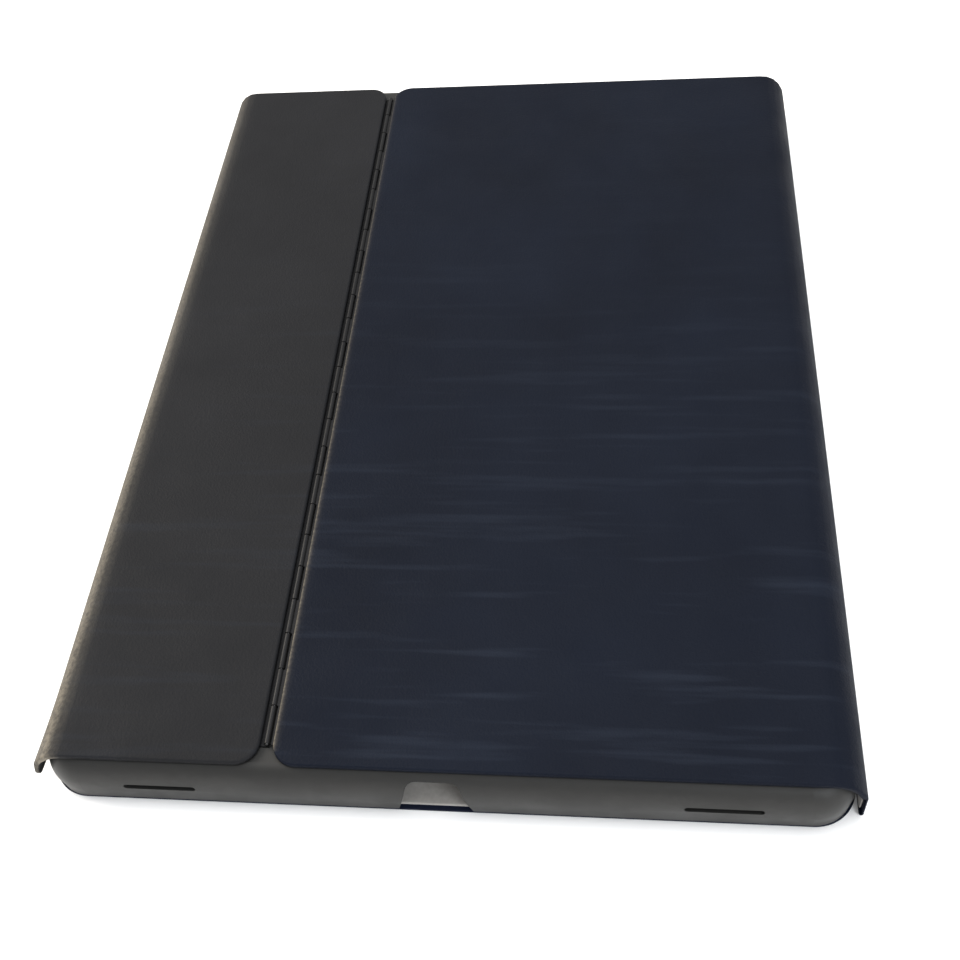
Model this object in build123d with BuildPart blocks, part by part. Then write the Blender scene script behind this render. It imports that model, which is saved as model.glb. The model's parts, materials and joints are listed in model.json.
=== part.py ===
"""Tablet keyboard case, closed and lying on its base, in millimetres.

X runs across the case from the finger edge (-X) to the spine (+X), Y along its length and Z up.
The origin is the middle of the footprint, on the table. The keyboard base lies on the table, the
rear shell stands over it screen side down, and the two are joined by a spine along the +X side.
The right-hand panel on the shell's back is a kickstand, hinged in the groove beside the left panel.
"""

import os
from math import sqrt

from build123d import *

os.makedirs("parts", exist_ok=True)

# ---- Driving dimensions ----------------------------------------------------------------------

TABLET_W, TABLET_L, TABLET_T = 220.6, 305.7, 6.9  # the tablet that the shell is made for
TABLET_PLAY = 0.3  # room round the tablet
TABLET_EDGE_R = 5.0  # the soft edge round the tablet's back

BOX_HALF_W = 115.5  # outermost face of the covers, left and right
SHELL_HALF_W, SHELL_HALF_L = 113.6, 160.6  # widest section of the rear shell
SHELL_CORNER_R = 12.0
PANEL_HALF_L = 156.8  # half length of the two panels on the back

# Heights, from the table up.
BASE_LINING_Z = 1.3  # base cover below, lining above
TRAY_Z = 2.0  # underside of the keyboard tray
TRAY_FLOOR = 0.8
DECK_Z, DECK_TOP = 5.5, 6.9
SKIRT_Z = 2.4  # lower edge of the rear shell
LIP_Z, SEAT_Z = 7.2, 8.9  # the lip that holds the tablet's screen edge
WIDEST_Z = 9.0
BAY_TOP = 16.4  # roof of the tablet bay
SHELL_TOP = 18.0
STAND_Z = 18.5  # underside of the kickstand
BOARD_TOP = 19.2  # boards below, leatherette above
CASE_TOP = 20.0

# The rounded shoulder that the shell and both covers share is a quarter ellipse.
SHOULDER_X = 106.0  # where the flat back ends and the shoulder starts
SHOULDER_Y = 155.4
COVER_T = 1.5
WRAP_END_Z = 7.5  # lower edge of the left cover's wrap
CURL_END_Z = 11.6  # lower edge of the kickstand's curl

# Groove and its piano hinge.
GROOVE_X, GROOVE_HALF_W = -46.8, 1.9
PANEL_CORNER_R = 7.0
HINGE_Z, BARREL_R, PIN_R, HINGE_PLAY = 19.0, 0.85, 0.35, 0.05
HINGE_HALF_L = 150.5
KNUCKLES, KNUCKLE_GAP = 25, 0.4
LEAF_T, LEAF_W = 0.5, 9.0

# Spine and its two folds.
FOLD_X, BASE_FOLD_Z, CASE_FOLD_Z = 115.0, 0.75, 10.6
SPINE_HALF_L, SPINE_LAYER = 155.5, 0.5

# Keyboard module.
MODULE_X0, MODULE_X1, MODULE_HALF_L = -108.0, 107.0, 146.5
MODULE_CORNER_R, WALL = 8.0, 1.2
KEY_UNIT, KEY_GAP, KEY_SLOT = 18.6, 2.8, 0.6  # pitch, space between caps, room round a cap
FUNCTION_DEPTH = 9.0
ROW_UNITS = 14.5
CAP_Z, CAP_TOP, CAP_SKIN = 6.2, 8.1, 0.8
PLATE_Z, PLATE_TOP = 3.3, 3.7  # key support plate
DOME_R, DOME_H = 2.6, 1.7

# Openings and buttons in the shell's walls, at the middle of the tablet's thickness.
PORT_Z = SEAT_Z + TABLET_T / 2
SLOT_X, SLOT_Z, SLOT_L, SLOT_H = 78.0, 10.2, 21.0, 2.0
NOTCH_TOP_W, NOTCH_FOOT_W, NOTCH_TOP_Z, NOTCH_R = 14.0, 22.0, 16.2, 3.0
BUTTON_L, BUTTON_W, BUTTON_PLAY = 12.0, 2.6, 0.5
BUTTON_X = -92.0  # power button and, mirrored, the headphone hole
VOLUME_Y, VOLUME_CAP_T = (106.0, 90.0), 1.0


# ---- Helpers ---------------------------------------------------------------------------------


def save(builder, name):
    """Names a finished piece and writes it to its own file."""
    builder.part.label = name
    export_step(builder.part, f"parts/{name}.step")


def slab(x0, x1, half_length, z0, z1, radius):
    """A flat plate between x0 and x1, centred on Y, with rounded corners in plan."""
    with BuildPart() as plate:
        with BuildSketch(Plane.XY.offset(z0)):
            with Locations(((x0 + x1) / 2, 0)):
                RectangleRounded(x1 - x0, 2 * half_length, radius)
        extrude(amount=z1 - z0)
    return plate


def blocks(centres, size_x, size_y, z0, z1):
    """Equal rectangular blocks, one solid at each centre."""
    with BuildPart() as group:
        with BuildSketch(Plane.XY.offset(z0)):
            with Locations(centres):
                Rectangle(size_x, size_y)
        extrude(amount=z1 - z0)
    return group


def discs(centres, radius, z0, z1):
    """Equal discs, one solid at each centre."""
    with BuildPart() as group:
        with BuildSketch(Plane.XY.offset(z0)):
            with Locations(centres):
                Circle(radius)
        extrude(amount=z1 - z0)
    return group


def shoulder_inset(z, depth, top):
    """How far the shoulder's ellipse has come in at height z, over its whole depth."""
    rise = max(0.0, (z - WIDEST_Z) / (top - WIDEST_Z))
    return depth * (1 - sqrt(max(0.0, 1 - rise * rise)))


def curled_panel(side, groove_x, underside, end_z, pockets):
    """A back panel whose outer edge curls down the case's side (-1 left, 1 right).

    The groove-side corners are rounded, and each pocket (x0, x1, half length, corner) is room for a board.
    """
    inner_w, inner_h = BOX_HALF_W - COVER_T - SHOULDER_X, STAND_Z - WIDEST_Z
    outer_w, outer_h = BOX_HALF_W - SHOULDER_X, CASE_TOP - WIDEST_Z
    centre = (side * SHOULDER_X, WIDEST_Z)
    start = 0 if side > 0 else 90
    low, high = (0, 1) if side > 0 else (1, 0)
    foot = WIDEST_Z - 2
    with BuildPart() as panel:
        with BuildSketch(Plane.XZ):
            with BuildLine():
                outer = EllipticalCenterArc(centre, outer_w, outer_h, start, arc_size=90)
                inner = EllipticalCenterArc(centre, inner_w, inner_h, start, arc_size=90)
                Polyline(outer @ low, (side * BOX_HALF_W, foot),
                         (side * (BOX_HALF_W - COVER_T), foot), inner @ low)
                Polyline(inner @ high, (groove_x, STAND_Z), (groove_x, CASE_TOP), outer @ high)
            make_face()
            with Locations(((groove_x + side * SHOULDER_X) / 2, CASE_TOP)):
                Rectangle(abs(groove_x - side * SHOULDER_X), CASE_TOP - underside,
                          align=(Align.CENTER, Align.MAX))
            with Locations((side * BOX_HALF_W, end_z)):
                Rectangle(4 * COVER_T, 4 * COVER_T, align=(Align.CENTER, Align.MAX),
                          mode=Mode.SUBTRACT)
        extrude(amount=PANEL_HALF_L, both=True)
        corners = panel.edges().filter_by(Axis.Z).group_by(Axis.X)[0 if side > 0 else -1]
        fillet(corners, PANEL_CORNER_R)
        with BuildSketch(Plane.XY.offset(underside)):
            for x0, x1, half_length, corner_r in pockets:
                with Locations(((x0 + x1) / 2, 0)):
                    if corner_r:
                        RectangleRounded(x1 - x0, 2 * half_length, corner_r)
                    else:
                        Rectangle(x1 - x0, 2 * half_length)
        extrude(amount=BOARD_TOP - underside, mode=Mode.SUBTRACT)
    return panel


# ---- Keyboard base: cover, lining, tray, deck ------------------------------------------------

BASE_X0, BASE_X1, BASE_HALF_L = -114.6, 114.2, 159.4
LINING_INSET = 0.5

base_cover = slab(BASE_X0, BASE_X1, BASE_HALF_L, 0, BASE_LINING_Z, SHELL_CORNER_R)
save(base_cover, "base_cover")

base_lining = slab(BASE_X0 + LINING_INSET, BASE_X1 - LINING_INSET, BASE_HALF_L - LINING_INSET,
                   BASE_LINING_Z, TRAY_Z, SHELL_CORNER_R - LINING_INSET)
save(base_lining, "base_lining")

SCREW_HEAD_R, SCREW_R, SCREW_TIP_Z, SCREW_PLAY = 1.5, 0.8, 6.3, 0.1
SCREW_X, SCREW_Y = (-102.0, -45.0, 101.0), (-141.5, 0.0, 141.5)
screw_places = [(x, y) for x in SCREW_X for y in SCREW_Y]

with BuildPart() as keyboard_tray:
    with BuildSketch(Plane.XY.offset(TRAY_Z)):
        with Locations(((MODULE_X0 + MODULE_X1) / 2, 0)):
            RectangleRounded(MODULE_X1 - MODULE_X0, 2 * MODULE_HALF_L, MODULE_CORNER_R)
    extrude(amount=DECK_Z - TRAY_Z)
    with BuildSketch(Plane.XY.offset(TRAY_Z + TRAY_FLOOR)):
        with Locations(((MODULE_X0 + MODULE_X1) / 2, 0)):
            RectangleRounded(MODULE_X1 - MODULE_X0 - 2 * WALL, 2 * (MODULE_HALF_L - WALL),
                             MODULE_CORNER_R - WALL)
    extrude(amount=DECK_Z, mode=Mode.SUBTRACT)
    with Locations(*[(x, y, TRAY_Z) for x, y in screw_places]):
        Cylinder(SCREW_HEAD_R + SCREW_PLAY, TRAY_FLOOR,
                 align=(Align.CENTER, Align.CENTER, Align.MIN), mode=Mode.SUBTRACT)
save(keyboard_tray, "keyboard_tray")

with BuildPart() as housing_screws:
    with BuildSketch(Plane.XY.offset(TRAY_Z)):
        with Locations(screw_places):
            Circle(SCREW_HEAD_R)
    extrude(amount=TRAY_FLOOR)
    with BuildSketch(Plane.XY.offset(TRAY_Z)):
        with Locations(screw_places):
            Circle(SCREW_R)
    extrude(amount=SCREW_TIP_Z - TRAY_Z)
save(housing_screws, "housing_screws")

# ---- Keys ------------------------------------------------------------------------------------
# Rows run along Y, and a typist who faces +X has the first key of each row at +Y.

LETTER_ROWS = {  # row centre in X, key widths in units, names of the keys that have their own piece
    "number_keys": (69.0, [1] * 13 + [1.5], {13: "delete_key"}),
    "top_letter_keys": (50.4, [1.5] + [1] * 13, {0: "tab_key"}),
    "home_letter_keys": (31.8, [1.75] + [1] * 11 + [1.75], {0: "caps_lock_key", 12: "return_key"}),
    "bottom_letter_keys": (13.2, [2.25] + [1] * 10 + [2.25],
                           {0: "left_shift_key", 11: "right_shift_key"}),
    "modifier_keys": (-5.4, [1, 1, 1, 1.25, 5, 1.25, 1, 1, 1, 1],
                      {4: "space_bar", 7: "left_arrow_key", 8: "half_height", 9: "right_arrow_key"}),
}
FUNCTION_X, FUNCTION_KEYS = 83.9, 14


def key_places():
    """Every key as (piece, x, y, size in X, size in Y)."""
    places = []
    depth = KEY_UNIT - KEY_GAP
    function_pitch = ROW_UNITS * KEY_UNIT / FUNCTION_KEYS
    for index in range(FUNCTION_KEYS):
        y = (ROW_UNITS * KEY_UNIT - function_pitch) / 2 - index * function_pitch
        places.append(("function_keys", FUNCTION_X, y, FUNCTION_DEPTH, function_pitch - KEY_GAP))
    for row, (x, widths, own) in LETTER_ROWS.items():
        edge = ROW_UNITS * KEY_UNIT / 2
        for index, units in enumerate(widths):
            y = edge - units * KEY_UNIT / 2
            edge -= units * KEY_UNIT
            width = units * KEY_UNIT - KEY_GAP
            if own.get(index) == "half_height":
                half = (depth - KEY_GAP / 2) / 2
                shift = (depth - half) / 2
                places.append(("up_arrow_key", x + shift, y, half, width))
                places.append(("down_arrow_key", x - shift, y, half, width))
            else:
                places.append((own.get(index, row), x, y, depth, width))
    return places


keys = key_places()
CAP_CORNER_R, CAP_EDGE_R = 1.2, 0.35

for piece in sorted({key[0] for key in keys}):
    with BuildPart() as caps:
        for _, x, y, size_x, size_y in [key for key in keys if key[0] == piece]:
            with BuildSketch(Plane.XY.offset(CAP_Z)):
                with Locations((x, y)):
                    RectangleRounded(size_x, size_y, CAP_CORNER_R)
            extrude(amount=CAP_TOP - CAP_Z)
        chamfer(caps.faces().filter_by(Axis.Z).group_by(Axis.Z)[-1].edges(), CAP_EDGE_R)
        for _, x, y, size_x, size_y in [key for key in keys if key[0] == piece]:
            with BuildSketch(Plane.XY.offset(CAP_Z)):
                with Locations((x, y)):
                    RectangleRounded(size_x - 2 * CAP_SKIN, size_y - 2 * CAP_SKIN,
                                     CAP_CORNER_R - CAP_SKIN / 2)
            extrude(amount=CAP_TOP - CAP_SKIN - CAP_Z, mode=Mode.SUBTRACT)
    save(caps, piece)

key_domes = discs([(x, y) for _, x, y, _, _ in keys], DOME_R, PLATE_TOP, PLATE_TOP + DOME_H)
save(key_domes, "key_domes")

LIGHT_X, LIGHT_Y, LIGHT_R = 98.0, -120.0, 1.2

with BuildPart() as keyboard_deck:
    with BuildSketch(Plane.XY.offset(DECK_Z)):
        with Locations(((MODULE_X0 + MODULE_X1) / 2, 0)):
            RectangleRounded(MODULE_X1 - MODULE_X0, 2 * MODULE_HALF_L, MODULE_CORNER_R)
    extrude(amount=DECK_TOP - DECK_Z)
    chamfer(keyboard_deck.faces().sort_by(Axis.Z)[-1].edges(), CAP_EDGE_R)
    with BuildSketch(Plane.XY.offset(DECK_Z)):
        for name, x, y, size_x, size_y in keys:
            if name == "up_arrow_key":  # the two half-height arrows share one slot
                x, size_x = LETTER_ROWS["modifier_keys"][0], KEY_UNIT - KEY_GAP
            if name != "down_arrow_key":
                with Locations((x, y)):
                    RectangleRounded(size_x + 2 * KEY_SLOT, size_y + 2 * KEY_SLOT, CAP_CORNER_R)
        with Locations((LIGHT_X, LIGHT_Y)):
            Circle(LIGHT_R + SCREW_PLAY)
    extrude(amount=DECK_TOP - DECK_Z, mode=Mode.SUBTRACT)
    with Locations(*[(x, y, DECK_Z) for x, y in screw_places]):
        Cylinder(SCREW_R + SCREW_PLAY, SCREW_TIP_Z - DECK_Z + SCREW_PLAY,
                 align=(Align.CENTER, Align.CENTER, Align.MIN), mode=Mode.SUBTRACT)
save(keyboard_deck, "keyboard_deck")

charge_light = discs([(LIGHT_X, LIGHT_Y)], LIGHT_R, DECK_Z, DECK_TOP)
save(charge_light, "charge_light")

# ---- Inside the keyboard: boards, plate, cells, magnets, bumpers -----------------------------

KEYBED_X0, KEYBED_X1, KEYBED_HALF_L = -17.0, 92.0, 138.0
FLOOR_TOP = TRAY_Z + TRAY_FLOOR

circuit_board = slab(KEYBED_X0, KEYBED_X1, KEYBED_HALF_L, FLOOR_TOP, PLATE_Z, 2)
save(circuit_board, "circuit_board")
support_plate = slab(KEYBED_X0, KEYBED_X1, KEYBED_HALF_L, PLATE_Z, PLATE_TOP, 2)
save(support_plate, "support_plate")

CELL_X, CELL_Y, CELL_SIZE, CELL_T = -68.0, 72.0, (56.0, 96.0), 2.2
battery_left = blocks([(CELL_X, CELL_Y)], *CELL_SIZE, FLOOR_TOP, FLOOR_TOP + CELL_T)
save(battery_left, "battery_left")
battery_right = blocks([(CELL_X, -CELL_Y)], *CELL_SIZE, FLOOR_TOP, FLOOR_TOP + CELL_T)
save(battery_right, "battery_right")

BOARD_X, BOARD_SIZE, BOARD_T, CHIP_SIZE, CHIP_T = -68.0, (44.0, 30.0), 0.8, 7.0, 0.9
with BuildPart() as controller_board:
    with Locations((BOARD_X, 0, FLOOR_TOP)):
        Box(*BOARD_SIZE, BOARD_T, align=(Align.CENTER, Align.CENTER, Align.MIN))
    with Locations((BOARD_X - 10, 4, FLOOR_TOP + BOARD_T), (BOARD_X + 10, -4, FLOOR_TOP + BOARD_T)):
        Box(CHIP_SIZE, CHIP_SIZE, CHIP_T, align=(Align.CENTER, Align.CENTER, Align.MIN))
save(controller_board, "controller_board")

MAGNET_R, MAGNET_T = 4.0, 2.0
CLOSURE_MAGNET_X, CLOSURE_MAGNET_Y = -101.0, (-110.0, -40.0, 40.0, 110.0)
closure_magnets = discs([(CLOSURE_MAGNET_X, y) for y in CLOSURE_MAGNET_Y],
                        MAGNET_R, FLOOR_TOP, FLOOR_TOP + MAGNET_T)
save(closure_magnets, "closure_magnets")

BUMPER_R, BUMPER_TOP = 3.0, 8.5
BUMPER_X, BUMPER_Y = (-101.0, 99.0), (-139.0, 139.0)
screen_bumpers = discs([(x, y) for x in BUMPER_X for y in BUMPER_Y],
                       BUMPER_R, DECK_TOP, BUMPER_TOP)
save(screen_bumpers, "screen_bumpers")

# ---- Rear shell ------------------------------------------------------------------------------

SKIRT_INSET = 0.6  # the shell draws in a little towards its lower edge
SHOULDER_STEPS = (0.0, 0.35, 0.62, 0.82, 0.95, 1.0)
BAY_HALF_W, BAY_HALF_L = TABLET_W / 2 + TABLET_PLAY, TABLET_L / 2 + TABLET_PLAY
BAY_CORNER_R = 10.0
LIP_W = 2.0
SKIRT_T = 1.4
CUT = 20.0  # how far a cutting block reaches, more than any wall's thickness
DOCK_PLAY, DOCK_RECESS_W, BLOCK_RECESS_W = 0.2, 5.0, 10.0
STAND_MAGNET_T = 0.8
DOCK_HALF_L, DOCK_Z, DOCK_TOP, DOCK_X = 119.8, 7.4, 10.3, 112.9
BLOCK_HALF_L, BLOCK_Z, BLOCK_TOP, BLOCK_PLAY = 9.0, 10.9, 13.7, 0.15
LEAF_X0, LEAF_X1 = GROOVE_X - LEAF_W, GROOVE_X + BARREL_R
STAND_MAGNETS = [(98.0, -100.0), (98.0, 100.0)]

with BuildPart() as rear_shell:
    with BuildSketch(Plane.XY.offset(SKIRT_Z)):
        RectangleRounded(2 * (SHELL_HALF_W - SKIRT_INSET), 2 * (SHELL_HALF_L - SKIRT_INSET),
                         SHELL_CORNER_R - SKIRT_INSET)
    for step in SHOULDER_STEPS:
        z = WIDEST_Z + step * (SHELL_TOP - WIDEST_Z)
        inset_x = shoulder_inset(z, SHELL_HALF_W - SHOULDER_X, SHELL_TOP)
        inset_y = shoulder_inset(z, SHELL_HALF_L - SHOULDER_Y, SHELL_TOP)
        with BuildSketch(Plane.XY.offset(z)):
            RectangleRounded(2 * (SHELL_HALF_W - inset_x), 2 * (SHELL_HALF_L - inset_y),
                             SHELL_CORNER_R - inset_y)
    loft()
    # Tablet bay, its lip and the hollow under the lip.
    with BuildSketch(Plane.XY.offset(SEAT_Z)):
        RectangleRounded(2 * BAY_HALF_W, 2 * BAY_HALF_L, BAY_CORNER_R)
    extrude(amount=BAY_TOP - SEAT_Z - TABLET_EDGE_R, mode=Mode.SUBTRACT)
    for step in range(5):
        lift = TABLET_EDGE_R * step / 5
        inset = TABLET_EDGE_R - sqrt(TABLET_EDGE_R ** 2 - (lift + TABLET_EDGE_R / 5) ** 2)
        with BuildSketch(Plane.XY.offset(BAY_TOP - TABLET_EDGE_R + lift)):
            RectangleRounded(2 * (BAY_HALF_W - inset), 2 * (BAY_HALF_L - inset),
                             BAY_CORNER_R - inset / 2)
        extrude(amount=TABLET_EDGE_R / 5, mode=Mode.SUBTRACT)
    with BuildSketch(Plane.XY.offset(LIP_Z)):
        RectangleRounded(2 * (BAY_HALF_W - LIP_W), 2 * (BAY_HALF_L - LIP_W), BAY_CORNER_R - LIP_W)
    extrude(amount=SEAT_Z - LIP_Z, mode=Mode.SUBTRACT)
    with BuildSketch(Plane.XY.offset(SKIRT_Z)):
        RectangleRounded(2 * (SHELL_HALF_W - SKIRT_INSET - SKIRT_T),
                         2 * (SHELL_HALF_L - SKIRT_INSET - SKIRT_T), SHELL_CORNER_R - SKIRT_T)
    extrude(amount=LIP_Z - SKIRT_Z, mode=Mode.SUBTRACT)
    # The spine's side has no skirt between the corners.
    with Locations((SHELL_HALF_W, 0, SKIRT_Z)):
        Box(CUT, 2 * (SHELL_HALF_L - SHELL_CORNER_R), LIP_Z - SKIRT_Z,
            align=(Align.CENTER, Align.CENTER, Align.MIN), mode=Mode.SUBTRACT)
    # Charging notch and speaker slots.
    with BuildSketch(Plane.XZ.offset(SHELL_HALF_L - 9)):
        with BuildLine():
            FilletPolyline((-NOTCH_FOOT_W / 2, 0), (-NOTCH_TOP_W / 2, NOTCH_TOP_Z),
                           (NOTCH_TOP_W / 2, NOTCH_TOP_Z), (NOTCH_FOOT_W / 2, 0), radius=NOTCH_R)
            Line((NOTCH_FOOT_W / 2, 0), (-NOTCH_FOOT_W / 2, 0))
        make_face()
    extrude(amount=CUT, mode=Mode.SUBTRACT)
    with BuildSketch(Plane.XZ):
        with Locations((-SLOT_X, SLOT_Z), (SLOT_X, SLOT_Z)):
            SlotOverall(SLOT_L, SLOT_H)
    extrude(amount=SHELL_HALF_L, both=True, mode=Mode.SUBTRACT)
    # Power button and headphone hole in the far wall, volume buttons in the finger-side wall.
    with BuildSketch(Plane.XZ.offset(-BAY_HALF_L + 1)):
        with Locations((BUTTON_X, PORT_Z)):
            SlotOverall(BUTTON_L + 2 * BUTTON_PLAY, BUTTON_W + 2 * BUTTON_PLAY)
        with Locations((-BUTTON_X, PORT_Z)):
            Circle(NOTCH_R)
    extrude(amount=-CUT, mode=Mode.SUBTRACT)
    with BuildSketch(Plane.YZ.offset(-BAY_HALF_W + 1)):
        with Locations(*[(y, PORT_Z) for y in VOLUME_Y]):
            SlotOverall(BUTTON_L + 2 * BUTTON_PLAY, BUTTON_W + 2 * BUTTON_PLAY)
    extrude(amount=-CUT, mode=Mode.SUBTRACT)
    # Recesses for the docking strip, the connector, the fixed hinge leaf and the magnets.
    with Locations((DOCK_X, 0, DOCK_Z - DOCK_PLAY)):
        Box(DOCK_RECESS_W, 2 * (DOCK_HALF_L + DOCK_PLAY), DOCK_TOP - DOCK_Z + 2 * DOCK_PLAY,
            align=(Align.MIN, Align.CENTER, Align.MIN), mode=Mode.SUBTRACT)
    with Locations((BAY_HALF_W - 1, 0, BLOCK_Z - BLOCK_PLAY)):
        Box(BLOCK_RECESS_W, 2 * (BLOCK_HALF_L + BLOCK_PLAY), BLOCK_TOP - BLOCK_Z + 2 * BLOCK_PLAY,
            align=(Align.MIN, Align.CENTER, Align.MIN), mode=Mode.SUBTRACT)
    with Locations(((LEAF_X0 + LEAF_X1) / 2, 0, SHELL_TOP)):
        Box(LEAF_X1 - LEAF_X0 + 1, 2 * HINGE_HALF_L + 1, 2 * LEAF_T, mode=Mode.SUBTRACT)
    with Locations(*[(x, y, SHELL_TOP) for x, y in STAND_MAGNETS]):
        Cylinder(MAGNET_R + SCREW_PLAY, 2 * STAND_MAGNET_T, mode=Mode.SUBTRACT)
save(rear_shell, "rear_shell")

LINING_HALF_W, LINING_HALF_L, LINING_T, LINING_CORNER_R = 104.0, 146.0, 0.6, 8.0
shell_lining = slab(-LINING_HALF_W, LINING_HALF_W, LINING_HALF_L, BAY_TOP - LINING_T, BAY_TOP,
                    LINING_CORNER_R)
save(shell_lining, "shell_lining")

stand_magnets = discs(STAND_MAGNETS, MAGNET_R, SHELL_TOP - STAND_MAGNET_T, SHELL_TOP)
save(stand_magnets, "stand_magnets")

DOCK_X1 = 113.8
dock_strip = blocks([((DOCK_X + DOCK_X1) / 2, 0)], DOCK_X1 - DOCK_X, 2 * DOCK_HALF_L,
                    DOCK_Z, DOCK_TOP)
save(dock_strip, "dock_strip")

CONTACT_R, CONTACT_X0, BLOCK_X0, BLOCK_X1 = 0.9, 110.3, 110.8, 112.8
contact_places = [(-5.0, PORT_Z), (0.0, PORT_Z), (5.0, PORT_Z)]
with BuildPart() as connector_block:
    with Locations((BLOCK_X0, 0, BLOCK_Z)):
        Box(BLOCK_X1 - BLOCK_X0, 2 * BLOCK_HALF_L, BLOCK_TOP - BLOCK_Z,
            align=(Align.MIN, Align.CENTER, Align.MIN))
    with BuildSketch(Plane.YZ.offset(BLOCK_X0)):
        with Locations(*contact_places):
            Circle(CONTACT_R + HINGE_PLAY)
    extrude(amount=1, mode=Mode.SUBTRACT)
save(connector_block, "connector_block")

with BuildPart() as connector_contacts:
    with BuildSketch(Plane.YZ.offset(CONTACT_X0)):
        with Locations(*contact_places):
            Circle(CONTACT_R)
    extrude(amount=BLOCK_X0 + 1 - CONTACT_X0)
save(connector_contacts, "connector_contacts")

with BuildPart() as power_button:
    with BuildSketch(Plane.XZ.offset(-BAY_HALF_L - 0.7)):
        with Locations((BUTTON_X, PORT_Z)):
            SlotOverall(BUTTON_L, BUTTON_W)
    extrude(amount=-(SHELL_HALF_L - BAY_HALF_L - 0.7))
save(power_button, "power_button")

for name, y in zip(("volume_up_button", "volume_down_button"), VOLUME_Y):
    with BuildPart() as volume_button:
        with BuildSketch(Plane.YZ.offset(-BAY_HALF_W - 0.7)):
            with Locations((y, PORT_Z)):
                SlotOverall(BUTTON_L, BUTTON_W)
        extrude(amount=-VOLUME_CAP_T)
    save(volume_button, name)

# ---- Left panel ------------------------------------------------------------------------------

EDGE_T = 0.8  # leatherette turned over a board's edge
BOARD_CORNER_R = PANEL_CORNER_R - EDGE_T
LEFT_EDGE_X = GROOVE_X - GROOVE_HALF_W
RIGHT_EDGE_X = GROOVE_X + GROOVE_HALF_W

left_board = slab(-SHOULDER_X, LEFT_EDGE_X - EDGE_T, PANEL_HALF_L - EDGE_T,
                  SHELL_TOP, BOARD_TOP, BOARD_CORNER_R)
save(left_board, "left_board")

left_cover = curled_panel(-1, LEFT_EDGE_X, SHELL_TOP, WRAP_END_Z,
                          [(-SHOULDER_X, LEFT_EDGE_X - EDGE_T, PANEL_HALF_L - EDGE_T,
                             BOARD_CORNER_R)])
save(left_cover, "left_cover")

# ---- Kickstand -------------------------------------------------------------------------------

PLATE_GAP = 1.7  # room for the hinge leaf's weld line
PLATE_X0, PLATE_X1 = GROOVE_X + LEAF_W + PLATE_GAP, 104.0

stand_plate = slab(PLATE_X0, PLATE_X1, PANEL_HALF_L - EDGE_T, STAND_Z, BOARD_TOP, 2)
save(stand_plate, "stand_plate")

stand_cover = curled_panel(1, RIGHT_EDGE_X, STAND_Z, CURL_END_Z,
                           [(PLATE_X0, PLATE_X1, PANEL_HALF_L - EDGE_T, 0),
                            (RIGHT_EDGE_X - 1, PLATE_X0, HINGE_HALF_L + 0.5, 0)])
save(stand_cover, "stand_cover")

# ---- Piano hinge in the groove ---------------------------------------------------------------

knuckle_pitch = 2 * HINGE_HALF_L / KNUCKLES


def hinge_leaf(first, x0, x1, z0, neck):
    """A flat leaf with every second knuckle of the barrel, counted from the first."""
    mine = [-HINGE_HALF_L + (index + 0.5) * knuckle_pitch for index in range(first, KNUCKLES, 2)]
    with BuildPart() as leaf:
        with Locations(((x0 + x1) / 2, 0, z0)):
            Box(x1 - x0, 2 * HINGE_HALF_L, LEAF_T, align=(Align.CENTER, Align.CENTER, Align.MIN))
        for y in mine:
            with BuildSketch(Plane.XZ.offset(-y)):
                with Locations((GROOVE_X, HINGE_Z)):
                    Circle(BARREL_R)
                with Locations(neck[0]):
                    Rectangle(*neck[1])
            extrude(amount=(knuckle_pitch - KNUCKLE_GAP) / 2, both=True)
        with BuildSketch(Plane.XZ):
            with Locations((GROOVE_X, HINGE_Z)):
                Circle(PIN_R + HINGE_PLAY)
        extrude(amount=HINGE_HALF_L, both=True, mode=Mode.SUBTRACT)
    return leaf


hinge_leaf_fixed = hinge_leaf(0, LEAF_X0, GROOVE_X + 0.4, SHELL_TOP - LEAF_T,
                              ((GROOVE_X, SHELL_TOP), (0.8, 1.0)))
save(hinge_leaf_fixed, "hinge_leaf_fixed")

leaf_start = RIGHT_EDGE_X - 0.6
hinge_leaf_moving = hinge_leaf(1, leaf_start, PLATE_X0 - 0.2, BOARD_TOP - LEAF_T,
                               ((GROOVE_X + 1.0, BOARD_TOP - LEAF_T / 2), (1.2, LEAF_T)))
save(hinge_leaf_moving, "hinge_leaf_moving")

with BuildPart() as hinge_pin:
    with BuildSketch(Plane.XZ):
        with Locations((GROOVE_X, HINGE_Z)):
            Circle(PIN_R)
    extrude(amount=HINGE_HALF_L, both=True)
save(hinge_pin, "hinge_pin")

# ---- Spine -----------------------------------------------------------------------------------


def spine_layer(x0, x1, rounded_x):
    """One upright layer of the spine, rounded at both folds on the side given."""
    with BuildPart() as layer:
        with BuildSketch(Plane.XZ):
            with Locations(((x0 + x1) / 2, (BASE_FOLD_Z + CASE_FOLD_Z) / 2)):
                Rectangle(x1 - x0, CASE_FOLD_Z - BASE_FOLD_Z + 2 * SPINE_LAYER)
        extrude(amount=SPINE_HALF_L, both=True)
        ends = layer.edges().filter_by(Axis.Y).filter_by_position(
            Axis.X, rounded_x - 0.01, rounded_x + 0.01)
        fillet(ends, 0.9 * SPINE_LAYER)
    return layer


spine_cover = spine_layer(FOLD_X, FOLD_X + SPINE_LAYER, FOLD_X + SPINE_LAYER)
save(spine_cover, "spine_cover")
spine_lining = spine_layer(FOLD_X - SPINE_LAYER, FOLD_X, FOLD_X - SPINE_LAYER)
save(spine_lining, "spine_lining")
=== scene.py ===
"""Looks for the tablet keyboard case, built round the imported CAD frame. Metres, row frame."""

import json
import math

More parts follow.
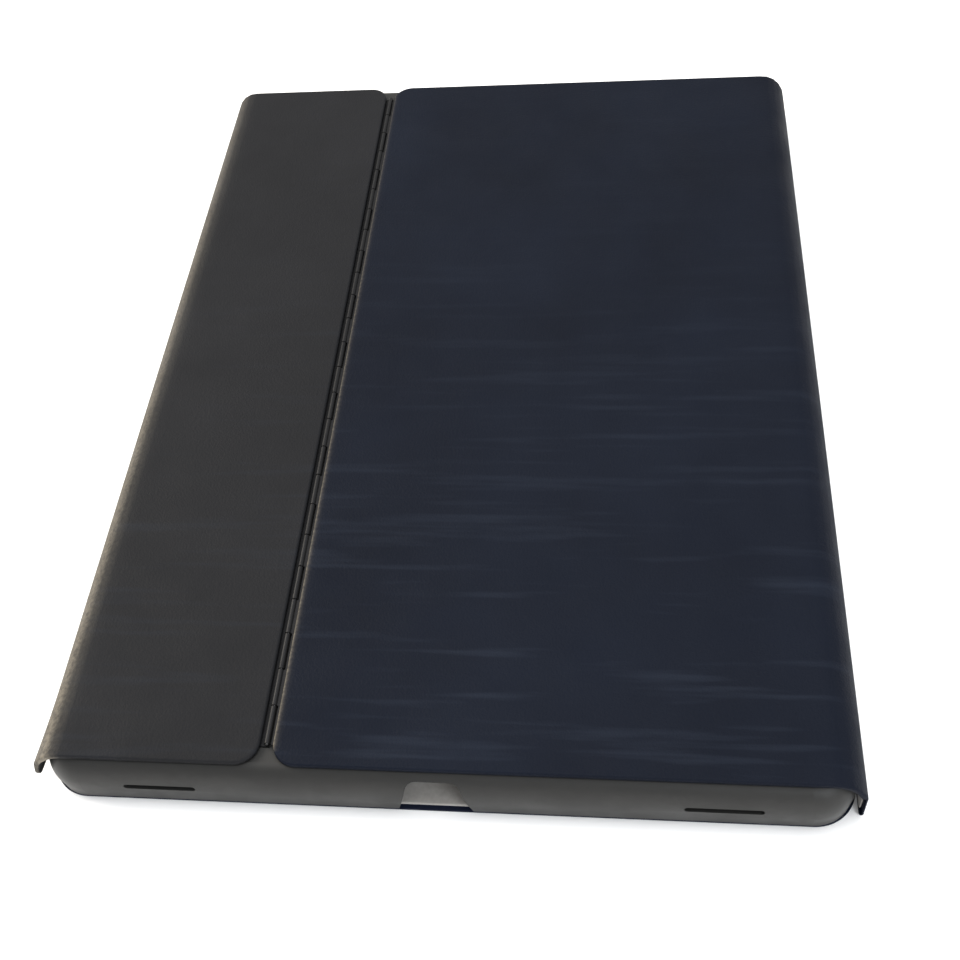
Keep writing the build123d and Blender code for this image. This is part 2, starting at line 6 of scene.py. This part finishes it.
import bpy
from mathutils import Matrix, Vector


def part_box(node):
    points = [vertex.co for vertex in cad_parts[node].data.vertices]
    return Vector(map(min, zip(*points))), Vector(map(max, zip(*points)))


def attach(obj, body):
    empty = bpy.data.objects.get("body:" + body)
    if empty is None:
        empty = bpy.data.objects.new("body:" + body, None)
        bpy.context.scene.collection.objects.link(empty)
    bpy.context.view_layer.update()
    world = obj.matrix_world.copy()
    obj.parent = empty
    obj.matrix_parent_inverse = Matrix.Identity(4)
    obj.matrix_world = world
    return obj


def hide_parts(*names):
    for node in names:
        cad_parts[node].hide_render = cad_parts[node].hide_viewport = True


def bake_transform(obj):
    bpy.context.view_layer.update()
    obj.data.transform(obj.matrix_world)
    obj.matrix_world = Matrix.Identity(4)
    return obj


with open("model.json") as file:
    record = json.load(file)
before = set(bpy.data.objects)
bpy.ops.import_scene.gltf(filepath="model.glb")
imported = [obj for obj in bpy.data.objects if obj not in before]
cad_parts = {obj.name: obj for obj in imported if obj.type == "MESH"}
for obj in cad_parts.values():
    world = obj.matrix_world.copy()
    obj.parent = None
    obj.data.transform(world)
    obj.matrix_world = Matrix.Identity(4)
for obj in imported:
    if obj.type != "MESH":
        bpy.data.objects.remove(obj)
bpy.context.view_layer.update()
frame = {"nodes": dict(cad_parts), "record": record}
MM = 0.001

# How finely a sheet is divided, in mm
EDGE_STEPS = (0.0, 0.06, 0.16, 0.3, 0.5, 0.8, 1.2, 1.8)  # distances in from a rolled edge
LAST_EDGE_STEP = 3.0
CORNER_STEPS = 14
LEAST_STEP = 0.04

# ---- Mesh helpers -----------------------------------------------------------------------------


def new_object(name, points, faces, wear_and_highlight=None):
    """A smooth-shaded mesh object, with how much rubbed wear and painted highlight each point takes.
    """
    mesh = bpy.data.meshes.new(name)
    mesh.from_pydata([Vector(p) * MM for p in points], [], faces)
    mesh.validate()
    for polygon in mesh.polygons:
        polygon.use_smooth = True
    if wear_and_highlight:
        mesh.attributes.new("wear_and_highlight", "FLOAT", "POINT").data.foreach_set("value", wear_and_highlight)
    made = bpy.data.objects.new(name, mesh)
    bpy.context.scene.collection.objects.link(made)
    return made


def closed_shell(name, outer, inner, wear_and_highlight=None):
    """Joins two equal grids of points, outer[i][j] and inner[i][j], into one closed skin."""
    rows, columns = len(outer), len(outer[0])
    points = [p for row in outer for p in row] + [p for row in inner for p in row]
    back = rows * columns

    def at(i, j, side):
        return i * columns + j + side * back

    faces = []
    for i in range(rows - 1):
        for j in range(columns - 1):
            faces.append((at(i, j, 0), at(i, j + 1, 0), at(i + 1, j + 1, 0), at(i + 1, j, 0)))
            faces.append((at(i, j, 1), at(i + 1, j, 1), at(i + 1, j + 1, 1), at(i, j + 1, 1)))
    for i in range(rows - 1):
        for j, flip in ((0, False), (columns - 1, True)):
            rim = (at(i, j, 0), at(i + 1, j, 0), at(i + 1, j, 1), at(i, j, 1))
            faces.append(rim[::-1] if flip else rim)
    for j in range(columns - 1):
        for i, flip in ((0, True), (rows - 1, False)):
            rim = (at(i, j, 0), at(i, j + 1, 0), at(i, j + 1, 1), at(i, j, 1))
            faces.append(rim[::-1] if flip else rim)
    made = new_object(name, points, faces, wear_and_highlight)
    made.data.update()
    return made


def along(line, distance):
    """The point of a polyline at a distance along it, and its direction there."""
    for (x0, z0), (x1, z1) in zip(line, line[1:]):
        length = math.hypot(x1 - x0, z1 - z0)
        if distance <= length + 1e-9 or (x1, z1) == line[-1]:
            share = min(1.0, distance / length)
            return (x0 + share * (x1 - x0), z0 + share * (z1 - z0)), ((x1 - x0) / length,
                                                                      (z1 - z0) / length)
        distance -= length


def line_length(line):
    """The length of a polyline."""
    return sum(math.hypot(b[0] - a[0], b[1] - a[1]) for a, b in zip(line, line[1:]))


def stations(length, radius_0, radius_1, step):
    """Distances along a sheet, close together at its rolled edges and round its corners."""
    places = set(EDGE_STEPS) | {length - e for e in EDGE_STEPS}
    for radius, flip in ((radius_0, False), (radius_1, True)):
        for turn in range(1, CORNER_STEPS + 1):
            part = radius * (1 - math.cos(math.radians(90 * turn / CORNER_STEPS)))
            places.add(length - part if flip else part)
    places |= {step * k for k in range(1, int(length / step))}
    kept = []
    for place in sorted(places):
        if not kept or place - kept[-1] > LEAST_STEP:
            kept.append(place)
    kept[-1] = length
    return kept


def edge_gap(s, y, length, half, radii):
    """How far inside a round-cornered sheet's edge a point lies, and 0 at the edge."""
    radius = radii[0] if s < length / 2 else radii[1]
    across = abs(s - length / 2) - (length / 2 - radius)
    down = abs(y) - (half - radius)
    gap = radius - math.hypot(max(across, 0), max(down, 0)) - min(max(across, down), 0)
    return max(0.0, gap)


def leather_sheet(name, line, out, half, thick, roll, radii, step=3.0, wear_and_highlight=None, shift=None):
    """A sheet that follows a section line in XZ, with turned edges and rounded corners in plan.

    out is +1 or -1, the side of the line that its outer face looks to. The wear-and-highlight
    function of (s, y, edge) gives how much cream each point takes, for rubbed wear and for painted
    highlight on lit edges, and shift(s, y) is how far it stands off.
    """
    length = line_length(line)
    edge = EDGE_STEPS + (LAST_EDGE_STEP,)
    columns = 2 * int(half / step)
    outer, inner, worn_and_lit = [], [], []
    for s in stations(length, radii[0], radii[1], step):
        (x, z), (dx, dz) = along(line, s)
        nx, nz = -dz * out, dx * out
        reach = half
        for radius, gap in ((radii[0], s), (radii[1], length - s)):
            if gap < radius:
                reach = half - radius + math.sqrt(max(0.0, radius ** 2 - (radius - gap) ** 2))
        near = [-(reach - e) for e in edge]
        flat = reach - edge[-1]
        middle = [-flat + 2 * flat * k / columns for k in range(1, columns)]
        row_out, row_in = [], []
        for y in near + middle + [-y for y in near[::-1]]:
            gap = edge_gap(s, y, length, half, radii)
            sunk = roll - math.sqrt(roll ** 2 - (roll - min(gap, roll)) ** 2)
            lift = shift(s, y) if shift else 0.0
            row_out.append((x + nx * (lift - sunk), y, z + nz * (lift - sunk)))
            row_in.append((x + nx * (lift - thick), y, z + nz * (lift - thick)))
            worn_and_lit.append(wear_and_highlight(s, y, gap) if wear_and_highlight else 0.0)
        outer.append(row_out)
        inner.append(row_in)
    return closed_shell(name, outer, inner, worn_and_lit + worn_and_lit)


# ---- Materials ---------------------------------------------------------------------------------


class Paint:
    """A node material under construction."""

    def __init__(self, name, **sockets):
        self.material = bpy.data.materials.new(name)
        self.material.use_nodes = True
        self.tree = self.material.node_tree
        self.shader = self.tree.nodes["Principled BSDF"]
        for socket, value in sockets.items():
            self.shader.inputs[socket.replace("_", " ")].default_value = value
        self.place = self.add("ShaderNodeTexCoord").outputs["Object"]

    def add(self, kind, links=None, **settings):
        node = self.tree.nodes.new(kind)
        for key, value in settings.items():
            setattr(node, key, value)
        for key, value in (links or {}).items():
            if isinstance(value, bpy.types.NodeSocket):
                self.tree.links.new(value, node.inputs[key])
            else:
                node.inputs[key].default_value = value
        return node

    def noise(self, scale, detail=4.0, stretch=(1, 1, 1)):
        mapped = self.add("ShaderNodeMapping", {"Vector": self.place, "Scale": stretch})
        links = {"Vector": mapped.outputs[0], "Scale": scale, "Detail": detail}
        return self.add("ShaderNodeTexNoise", links).outputs["Fac"]

    def span(self, value, low, high, to_low=0.0, to_high=1.0):
        links = {"Value": value, "From Min": low, "From Max": high,
                 "To Min": to_low, "To Max": to_high}
        return self.add("ShaderNodeMapRange", links).outputs[0]

    def math(self, operation, a, b):
        return self.add("ShaderNodeMath", {0: a, 1: b}, operation=operation).outputs[0]

    def mix(self, share, a, b):
        node = self.add("ShaderNodeMix", data_type="RGBA")
        for index, value in ((0, share), (6, a), (7, b)):
            if isinstance(value, bpy.types.NodeSocket):
                self.tree.links.new(value, node.inputs[index])
            else:
                node.inputs[index].default_value = value
        return node.outputs[2]

    def feed(self, socket, value):
        self.tree.links.new(value, self.shader.inputs[socket])

    def bump(self, height, distance, strength=1.0):
        links = {"Height": height, "Distance": distance, "Strength": strength}
        self.feed("Normal", self.add("ShaderNodeBump", links).outputs[0])


def rgb(red, green, blue):
    """An opaque colour."""
    return (red, green, blue, 1.0)


def leatherette(name, dark, light, rubbed_and_lit, streaks):
    """Coated cloth: pebbled grain, slow tone changes, faint scuffs across, and a cream that marks
    worn edges and painted highlight on lit edges.
    """
    paint = Paint(name, Specular_IOR_Level=0.06)
    tone = paint.mix(paint.span(paint.noise(22, 8), 0.25, 0.75), dark, light)
    scuff = paint.span(paint.noise(30, 12, (0.6, 9, 1)), 0.54, 0.76)
    along_y = paint.add("ShaderNodeSeparateXYZ", {"Vector": paint.place}).outputs["Y"]
    nearer = paint.span(along_y, 0.05, -0.13, 0.15, 1.0)
    scuffed = paint.math("MULTIPLY", paint.math("MULTIPLY", scuff, nearer), streaks)
    tone = paint.mix(scuffed, tone, rgb(0.028, 0.036, 0.054))
    # cream by the per-point amount: rubbed wear, and painted highlight where edges face the light
    worn_and_lit = paint.add("ShaderNodeAttribute", attribute_name="wear_and_highlight").outputs["Fac"]
    patchy = paint.math("MULTIPLY", worn_and_lit, paint.span(paint.noise(900, 8), 0.3, 0.66, 0.35, 1.0))
    paint.feed("Base Color", paint.mix(patchy, tone, rubbed_and_lit))
    paint.feed("Roughness", paint.span(paint.noise(60, 6), 0.3, 0.7, 0.5, 0.66))
    pebbles = paint.add("ShaderNodeTexVoronoi", {"Vector": paint.place, "Scale": 1500.0})
    grain = paint.math("ADD", pebbles.outputs["Distance"], paint.noise(3200, 3))
    paint.bump(grain, 0.00012, 0.8)
    return paint.material


def moulded(name, colour, rough, metallic=0.0, grain=1800, depth=0.00003, vary=0.05):
    """Moulded plastic, metal or rubber with a fine spark texture and slightly uneven tone."""
    paint = Paint(name, Metallic=metallic, Specular_IOR_Level=0.3)
    dark = rgb(*[c * (1 - vary) for c in colour])
    light = rgb(*[min(1.0, c * (1 + vary)) for c in colour])
    paint.feed("Base Color", paint.mix(paint.span(paint.noise(260, 6), 0.3, 0.7), dark, light))
    paint.feed("Roughness", paint.span(paint.noise(90, 5), 0.3, 0.7, rough - 0.06, rough + 0.06))
    paint.bump(paint.noise(grain, 3), depth, 0.4)
    return paint.material


def microfibre(name, colour):
    """Soft lining cloth with a short nap."""
    paint = Paint(name, Roughness=0.92, Sheen_Weight=0.35, Sheen_Roughness=0.5)
    dark = rgb(*[c * 0.82 for c in colour])
    nap = paint.math("ADD", paint.noise(900, 6), paint.noise(300, 3))
    paint.feed("Base Color", paint.mix(paint.span(nap, 0.7, 1.3), dark, rgb(*colour)))
    paint.bump(paint.noise(2600, 5), 0.00008, 0.6)
    return paint.material


# cream for rubbed wear and for painted highlight on lit edges
CREAM = rgb(0.24, 0.212, 0.168)
right_leather = leatherette("right_leather", rgb(0.0038, 0.0052, 0.0098),
                            rgb(0.0054, 0.0076, 0.0142), CREAM, 0.26)
left_leather = leatherette("left_leather", rgb(0.0108, 0.0111, 0.0124),
                           rgb(0.0138, 0.0141, 0.0158), CREAM, 0.14)
edge_leather = leatherette("edge_leather", rgb(0.005, 0.007, 0.016),
                           rgb(0.008, 0.011, 0.023), CREAM, 0.15)
lining_cloth = microfibre("lining_cloth", (0.34, 0.325, 0.305))
bay_cloth = microfibre("bay_cloth", (0.16, 0.16, 0.165))

slots = {
    "navy_leatherette": edge_leather,
    "light_lining": lining_cloth,
    "bay_lining": bay_cloth,
    "grey_shell": moulded("grey_shell", (0.0125, 0.0125, 0.0120), 0.5),
    "deck_plastic": moulded("deck_plastic", (0.21, 0.207, 0.20), 0.55),
    "key_plastic": moulded("key_plastic", (0.045, 0.05, 0.065), 0.5),
    "black_steel": moulded("black_steel", (0.012, 0.012, 0.013), 0.45, 0.6),
    "bright_steel": moulded("bright_steel", (0.5, 0.5, 0.5), 0.3, 1.0),
    "stiffener_board": moulded("stiffener_board", (0.05, 0.05, 0.055), 0.8),
    "circuit_green": moulded("circuit_green", (0.03, 0.12, 0.07), 0.4),
    "cell_foil": moulded("cell_foil", (0.55, 0.55, 0.57), 0.35, 0.8),
    "soft_rubber": moulded("soft_rubber", (0.06, 0.06, 0.062), 0.75),
    "connector_plastic": moulded("connector_plastic", (0.02, 0.02, 0.022), 0.4),
    "gold_contact": moulded("gold_contact", (0.75, 0.55, 0.22), 0.25, 1.0),
    "light_lens": moulded("light_lens", (0.7, 0.75, 0.7), 0.2),
}
for row in frame["record"]["subparts"]:
    mesh = frame["nodes"][row["node"]].data
    mesh.materials.clear()
    mesh.materials.append(slots[row["material_slot"]])


def finish_piece(piece, material, body=None, replaced=()):
    piece.data.materials.append(material)
    if body:
        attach(piece, body)
    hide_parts(*replaced)


# ---- Back panels -------------------------------------------------------------------------------

# The case's section: half its width, where its shoulder starts, its widest level and its top
BOX_X, SHOULDER_X, WIDEST_Z, TOP_Z = 115.5, 106.0, 9.0, 20.0
SHOULDER_STEPS = 40
PANEL_T = 1.45
PANEL_RADII = (7.0, 1.5)  # at the groove, and at the lower end of the wrap
WORN_SHEEN_DOWN, WORN_SHEEN_WIDTH = 7.0, 3.2  # how far down the wrap the band of rubbed wear and painted highlight lies, and its width
LINE_WIDTH, LINE_END = 0.45, 4  # the groove edge's line of painted highlight, and how far from the ends it stops
FLARE_DOWN, FLARE_FADE, FLARE_LENGTH, FLARE_LIFT = 6, 8, 28, 1.1  # the wrap's loose near corner
left_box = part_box("left_cover")
right_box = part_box("stand_cover")
PANEL_HALF = right_box[1].y / MM
GROOVE_L, GROOVE_R = left_box[1].x / MM, right_box[0].x / MM


def shoulder(side, groove_x, end_z):
    """The panel's outer line from the groove, over the shoulder and down the side."""
    line = [(groove_x, TOP_Z), (side * SHOULDER_X, TOP_Z)]
    for step in range(1, SHOULDER_STEPS + 1):
        turn = math.radians(90 * step / SHOULDER_STEPS)
        z = WIDEST_Z + (TOP_Z - WIDEST_Z) * math.cos(turn)
        if z < end_z:
            break
        line.append((side * (SHOULDER_X + (BOX_X - SHOULDER_X) * math.sin(turn)), z))
    if end_z < WIDEST_Z:
        line.append((side * BOX_X, end_z))
    return line


left_line = shoulder(-1, GROOVE_L, left_box[0].z / MM)
right_line = shoulder(1, GROOVE_R, right_box[0].z / MM)
left_flat = GROOVE_L + SHOULDER_X


def left_wear_and_highlight(s, y, gap):
    """A band of rubbed wear and painted highlight where the wrap turns down the side towards the
    light, strongest at the near end.
    """
    band = math.exp(-(((s - left_flat - WORN_SHEEN_DOWN) / WORN_SHEEN_WIDTH) ** 2))
    return min(1.0, band * (0.50 - 0.26 * y / PANEL_HALF) + 0.35 * math.exp(-gap / 0.25)
               * (s > left_flat))


def right_groove_highlight(s, y, gap):
    """A thin line of painted highlight along the groove's edge, where the raised panel faces the
    light, strongest on the near half.
    """
    line = math.exp(-s / LINE_WIDTH) * (abs(y) < PANEL_HALF - LINE_END)
    return min(1.0, line * (0.6 - 0.4 * y / PANEL_HALF))


def left_flare(s, y):
    """The wrap's lower end stands off the shell at the near corner."""
    low = min(1.0, max(0.0, (s - left_flat - FLARE_DOWN) / FLARE_FADE))
    end = min(1.0, max(0.0, (-y - PANEL_HALF + FLARE_LENGTH) / FLARE_LENGTH))
    return FLARE_LIFT * low * end ** 2


left_panel = leather_sheet("left_panel_leather", left_line, -1, PANEL_HALF, PANEL_T, 0.7,
                           PANEL_RADII, wear_and_highlight=left_wear_and_highlight, shift=left_flare)
finish_piece(left_panel, left_leather, "rear_case", ["left_cover"])
right_panel = leather_sheet("kickstand_leather", right_line, 1, PANEL_HALF, PANEL_T, 0.6,
                            PANEL_RADII, wear_and_highlight=right_groove_highlight)
finish_piece(right_panel, right_leather, "kickstand", ["stand_cover"])

# ---- Base cover and linings --------------------------------------------------------------------

LINING_INSET = 0.8  # how far the base lining stops inside its node's box
LINING_RADIUS = 10.7


def flat_sheet(name, node, face, roll, radius, material, body, inset=0.0):
    """A flat sheet in a node's own box; face is +1 for an outer face upwards, -1 downwards."""
    low, high = (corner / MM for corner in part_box(node))
    low, high = low + Vector((inset, inset, 0)), high - Vector((inset, inset, 0))
    z = high.z if face > 0 else low.z
    sheet = leather_sheet(name, [(low.x, z), (high.x, z)], face, high.y, high.z - low.z, roll,
                          (radius, radius), step=6.0)
    finish_piece(sheet, material, body, [node])
    return sheet, (high.x - low.x, 2 * high.y)


flat_sheets = [
    flat_sheet("base_leather", "base_cover", -1, 0.5, 12.0, edge_leather,
               "keyboard_base"),
    flat_sheet("base_lining_cloth", "base_lining", 1, 0.3, LINING_RADIUS, lining_cloth,
               "keyboard_base", inset=LINING_INSET),
    flat_sheet("bay_lining_cloth", "shell_lining", -1, 0.25, 8.0, bay_cloth,
               "rear_case"),
]

# ---- Spine -------------------------------------------------------------------------------------

SPINE_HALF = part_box("spine_cover")[1].y / MM
CLOTH_HALF = SPINE_HALF - 2.0  # the lining stops short of the leather
MID_Z = 5.7  # where the lower and upper half of each layer meet
LOWER_FOLD, UPPER_FOLD = (0.35, 1.15), (10.2, 11.0)


def fold_strip(name, line, half, material, slot, bodies, start_z, end_z, replaced):
    """One half of a spine layer, shaped along its section line; it stays fixed and follows neither
    body.
    """
    strip = leather_sheet(name, line, -1, half, 0.45, 0.2, (0.6, 0.6), step=1.0)
    finish_piece(strip, material, None, replaced)
    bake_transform(strip)
    return strip, (line_length(line), 2 * half)


spine_strips = [
    fold_strip("spine_leather_lower", [(114.3, 0.22), (115.1, 0.3), (115.4, 0.55), (BOX_X, 0.9),
                                       (BOX_X, MID_Z)],
               SPINE_HALF, edge_leather, "navy_leatherette", ("keyboard_base", "spine"), *LOWER_FOLD,
               ["spine_cover"]),
    fold_strip("spine_leather_upper", [(BOX_X, MID_Z), (BOX_X, 10.2), (115.4, 10.7),
                                       (115.1, 11.0), (114.3, 11.15)],
               SPINE_HALF, edge_leather, "navy_leatherette", ("spine", "rear_case"), *UPPER_FOLD, []),
    fold_strip("spine_cloth_lower", [(114.4, 0.75), (114.8, 0.85), (115.0, 1.2),
                                     (115.0, MID_Z)],
               CLOTH_HALF, lining_cloth, "light_lining", ("keyboard_base", "spine"), *LOWER_FOLD,
               ["spine_lining"]),
    fold_strip("spine_cloth_upper", [(115.0, MID_Z), (115.0, 10.1), (114.8, 10.45),
                                     (114.4, 10.6)],
               CLOTH_HALF, lining_cloth, "light_lining", ("spine", "rear_case"), *UPPER_FOLD, []),
]

# ---- Floor, light and camera -------------------------------------------------------------------

bpy.ops.mesh.primitive_plane_add(size=8, location=(0, 0, -0.0001))
floor = bpy.context.object
floor.name = "floor"
floor_paint = Paint("floor_paint", Roughness=0.8)
floor_paint.feed("Base Color", floor_paint.mix(floor_paint.noise(3, 2), rgb(0.93, 0.93, 0.93),
                                               rgb(0.96, 0.96, 0.96)))
floor.data.materials.append(floor_paint.material)


def softbox(name, place, size, power, colour=(1, 1, 1)):
    """A round area light that points at the middle of the case."""
    data = bpy.data.lights.new(name, "AREA")
    data.shape, data.size, data.energy, data.color = "DISK", size, power, colour
    lamp = bpy.data.objects.new(name, data)
    lamp.location = place
    lamp.rotation_euler = (-Vector(place)).to_track_quat("-Z", "Y").to_euler()
    bpy.context.scene.collection.objects.link(lamp)


softbox("key_left", (-1.3, 0.5, 0.9), 1.2, 34, (1.0, 0.93, 0.82))
softbox("near_right", (0.9, -1.1, 0.8), 0.7, 12, (0.92, 0.96, 1.0))
softbox("overhead", (0.2, 0.1, 1.8), 1.5, 20)

bpy.context.scene.view_settings.view_transform = "Standard"
world = bpy.data.worlds.new("studio")
bpy.context.scene.world = world
world.use_nodes = True
world.node_tree.nodes["Background"].inputs["Color"].default_value = rgb(1.0, 1.0, 1.0)
world.node_tree.nodes["Background"].inputs["Strength"].default_value = 0.85

camera_data = bpy.data.cameras.new("camera")
camera_data.sensor_width = 36
camera_data.lens = 49.17
camera_data.shift_x, camera_data.shift_y = 0.0444, -0.0092
camera = bpy.data.objects.new("camera", camera_data)
camera.location = (0.05016, -0.31544, 0.34195)
camera.rotation_euler = [math.radians(a) for a in (39.517, 5.919, 5.341)]
bpy.context.scene.collection.objects.link(camera)
bpy.context.scene.camera = camera
